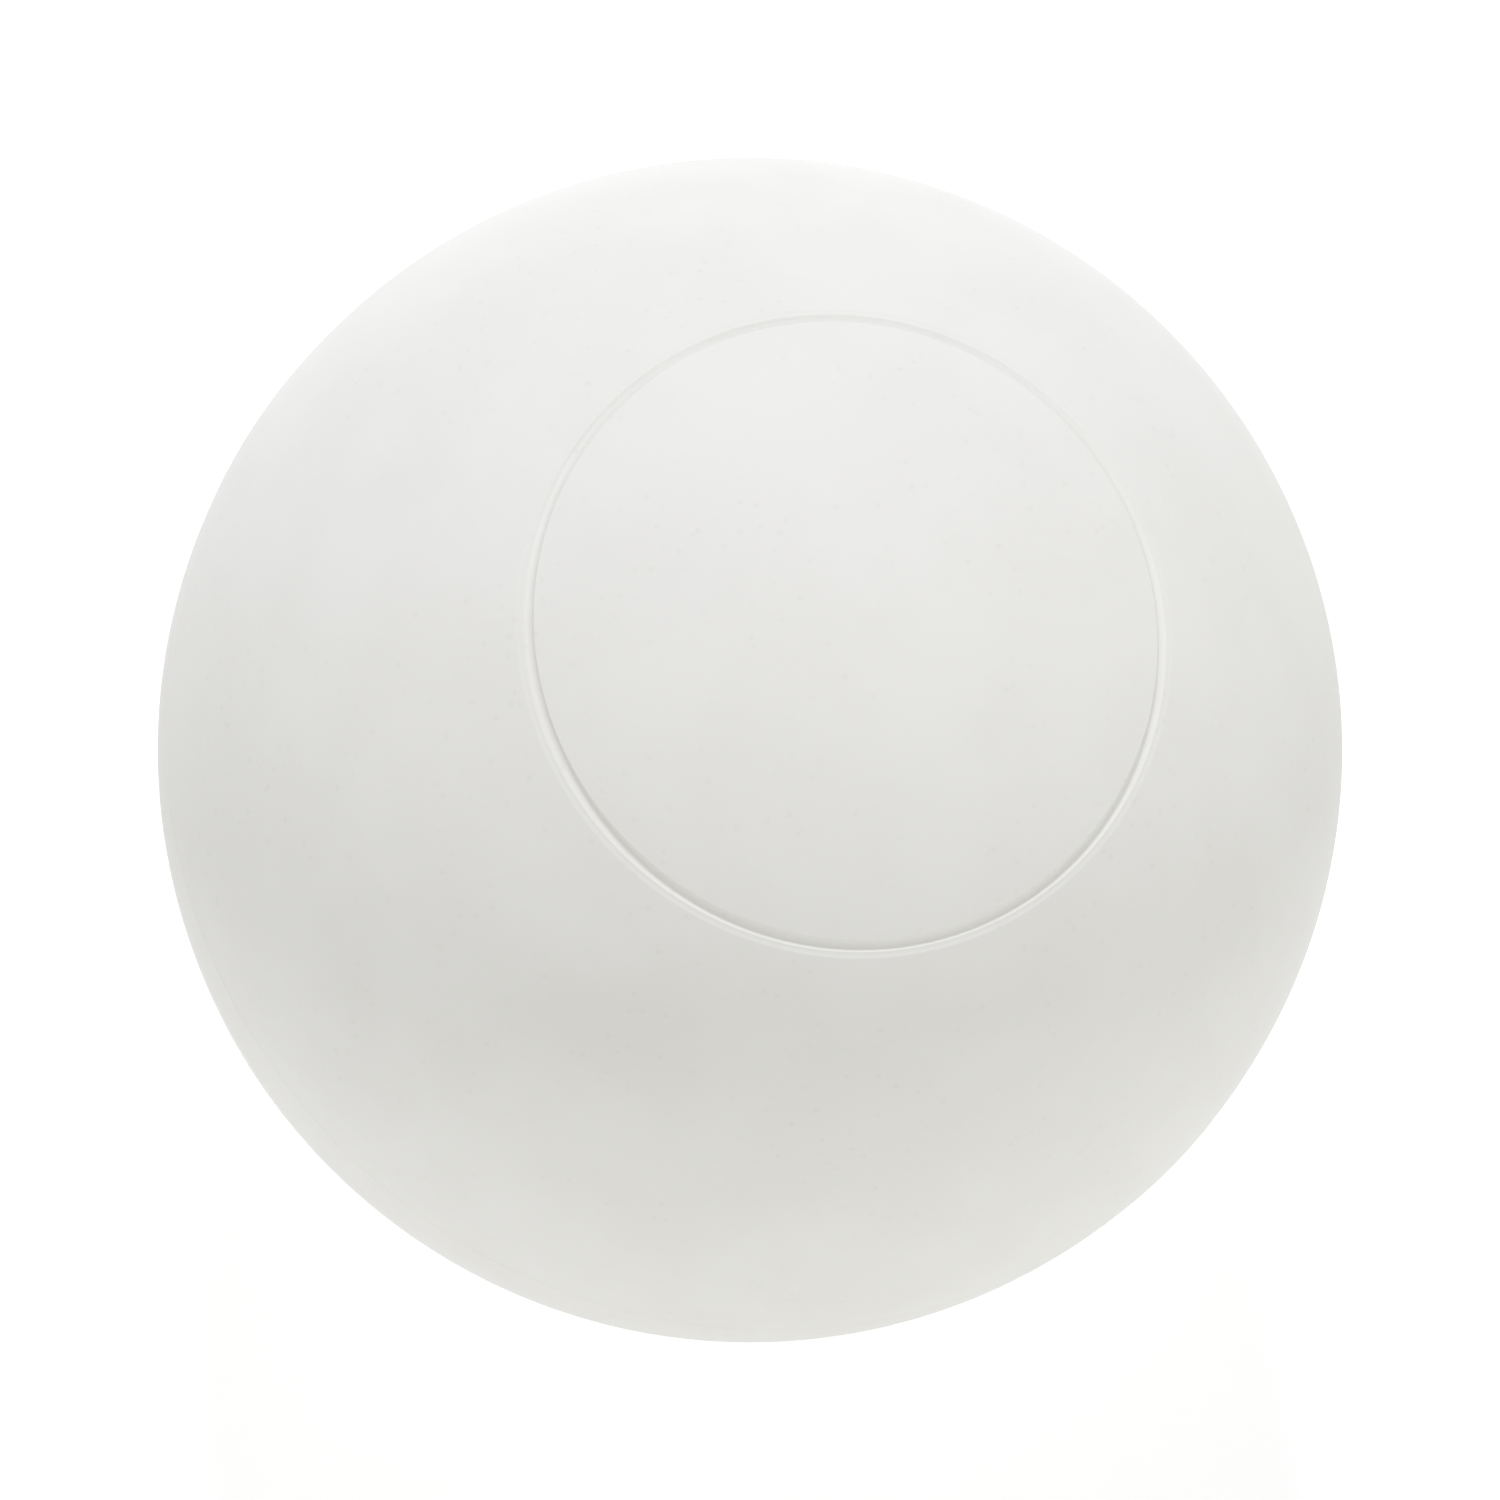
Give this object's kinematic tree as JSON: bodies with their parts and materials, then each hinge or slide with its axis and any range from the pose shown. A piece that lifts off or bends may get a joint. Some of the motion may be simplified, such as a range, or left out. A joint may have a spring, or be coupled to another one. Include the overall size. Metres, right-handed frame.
{
  "type": "lacrosse ball",
  "caption": "Solid white rubber ball with a shallow ring groove round a plain field that lies a hair lower, and a faint moulding line at its middle.",
  "frame": {"origin": "centre of the ball", "axes": "+Z from the centre of the ball out through the middle of the ring groove, square to the mould's parting plane; the ball is round about Z, so +X and +Y are free"},
  "size_m": [0.0636, 0.0636, 0.0635],
  "materials": {
    "white_rubber": "matte"
  },
  "bodies": {
    "root": {"ball": "white_rubber"}
  },
  "joints": []
}
